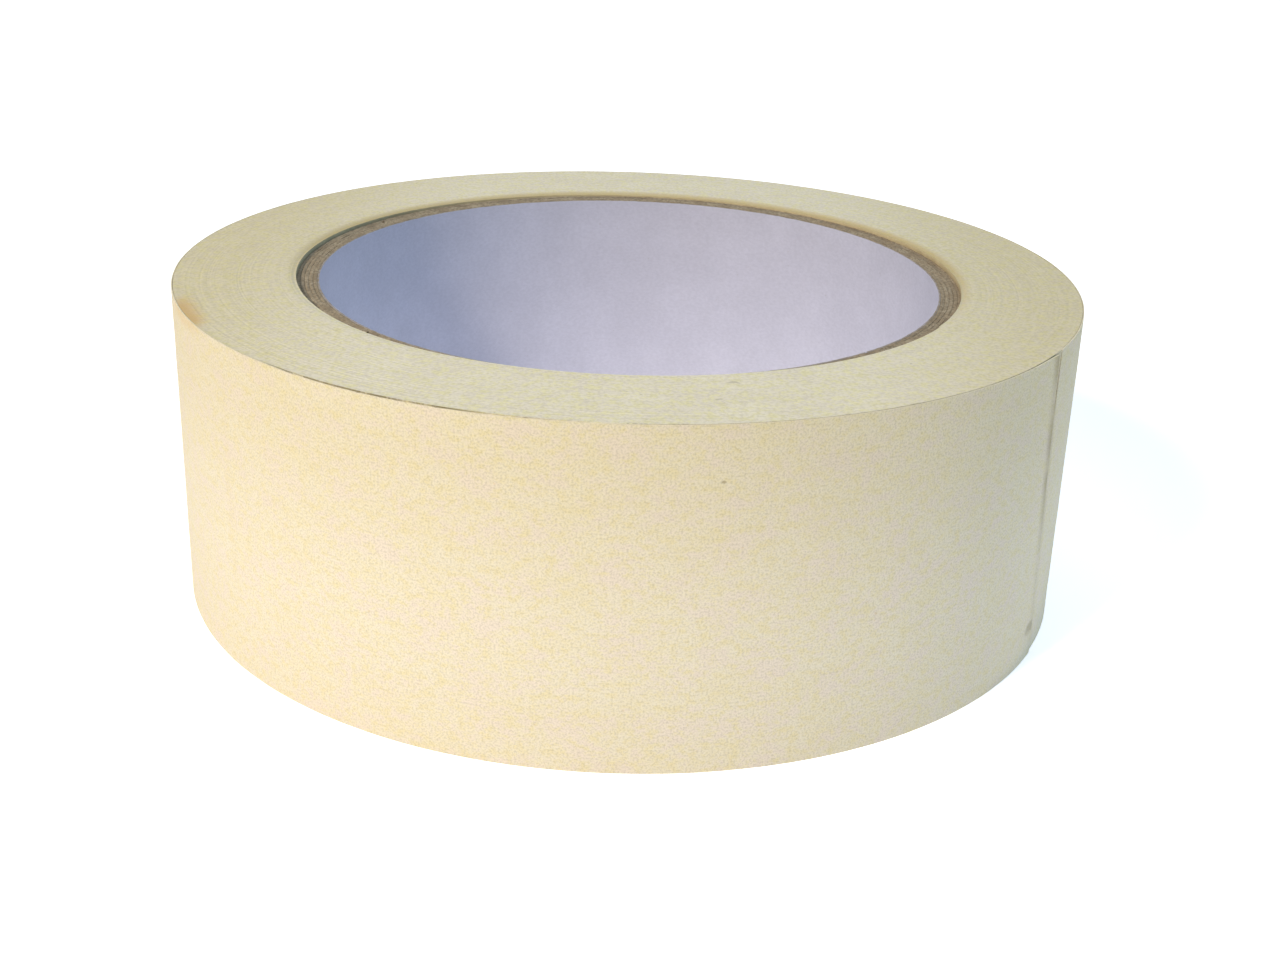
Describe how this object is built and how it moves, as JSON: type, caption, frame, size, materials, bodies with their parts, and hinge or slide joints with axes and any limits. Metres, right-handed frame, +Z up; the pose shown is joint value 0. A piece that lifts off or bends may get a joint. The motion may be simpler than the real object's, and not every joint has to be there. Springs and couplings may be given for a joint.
{
  "type": "masking tape roll",
  "caption": "Roll of cream crepe masking tape on a spiral-wound cardboard core with a white paper liner, lying flat, with a free end that peels off.",
  "frame": {"origin": "centre of the roll's lower face, on the roll's axis and on the surface that it lies on", "axes": "+Z up along the roll's axis; the tape's free end runs anticlockwise seen from above and its tip lies towards +X and -Y"},
  "size_m": [0.1104, 0.1104, 0.0385],
  "materials": {
    "crepe_tape": "matt cream crepe paper with a fine cross-wise crinkle",
    "greyboard": "matt brown-grey recycled board, cut edge",
    "liner_paper": "matt white paper"
  },
  "bodies": {
    "roll": {"core_liner": "liner_paper", "core_ply_1": "greyboard", "core_ply_2": "greyboard", "core_ply_3": "greyboard", "core_ply_4": "greyboard", "core_ply_5": "greyboard", "wound_tape": "crepe_tape", "last_turn": "crepe_tape"},
    "free_end_01": {"free_end_01": "crepe_tape"},
    "free_end_02": {"free_end_02": "crepe_tape"},
    "free_end_03": {"free_end_03": "crepe_tape"},
    "free_end_04": {"free_end_04": "crepe_tape"},
    "free_end_05": {"free_end_05": "crepe_tape"},
    "free_end_06": {"free_end_06": "crepe_tape"},
    "free_end_07": {"free_end_07": "crepe_tape"},
    "free_end_08": {"free_end_08": "crepe_tape"},
    "free_end_09": {"free_end_09": "crepe_tape"},
    "free_end_10": {"free_end_10": "crepe_tape"}
  },
  "joints": [
    {"name": "bend_01", "type": "hinge", "parent": "roll", "child": "free_end_01", "pos_m": [-0.01708, -0.05256, 0.01925], "axis": [0, 0, -1], "range_deg": [0, 8]},
    {"name": "bend_02", "type": "hinge", "parent": "free_end_01", "child": "free_end_02", "pos_m": [-0.0096, -0.05443, 0.01925], "axis": [0, 0, -1], "range_deg": [0, 16]},
    {"name": "bend_03", "type": "hinge", "parent": "free_end_02", "child": "free_end_03", "pos_m": [-0.00193, -0.05524, 0.01925], "axis": [0, 0, -1], "range_deg": [0, 16]},
    {"name": "bend_04", "type": "hinge", "parent": "free_end_03", "child": "free_end_04", "pos_m": [0.00578, -0.05497, 0.01925], "axis": [0, 0, -1], "range_deg": [0, 16]},
    {"name": "bend_05", "type": "hinge", "parent": "free_end_04", "child": "free_end_05", "pos_m": [0.01337, -0.05364, 0.01925], "axis": [0, 0, -1], "range_deg": [0, 16]},
    {"name": "bend_06", "type": "hinge", "parent": "free_end_05", "child": "free_end_06", "pos_m": [0.02071, -0.05126, 0.01925], "axis": [0, 0, -1], "range_deg": [0, 16]},
    {"name": "bend_07", "type": "hinge", "parent": "free_end_06", "child": "free_end_07", "pos_m": [0.02764, -0.04788, 0.01925], "axis": [0, 0, -1], "range_deg": [0, 16]},
    {"name": "bend_08", "type": "hinge", "parent": "free_end_07", "child": "free_end_08", "pos_m": [0.03404, -0.04357, 0.01925], "axis": [0, 0, -1], "range_deg": [0, 16]},
    {"name": "bend_09", "type": "hinge", "parent": "free_end_08", "child": "free_end_09", "pos_m": [0.03977, -0.03841, 0.01925], "axis": [0, 0, -1], "range_deg": [0, 16]},
    {"name": "bend_10", "type": "hinge", "parent": "free_end_09", "child": "free_end_10", "pos_m": [0.04474, -0.0325, 0.01925], "axis": [0, 0, -1], "range_deg": [0, 16]}
  ]
}
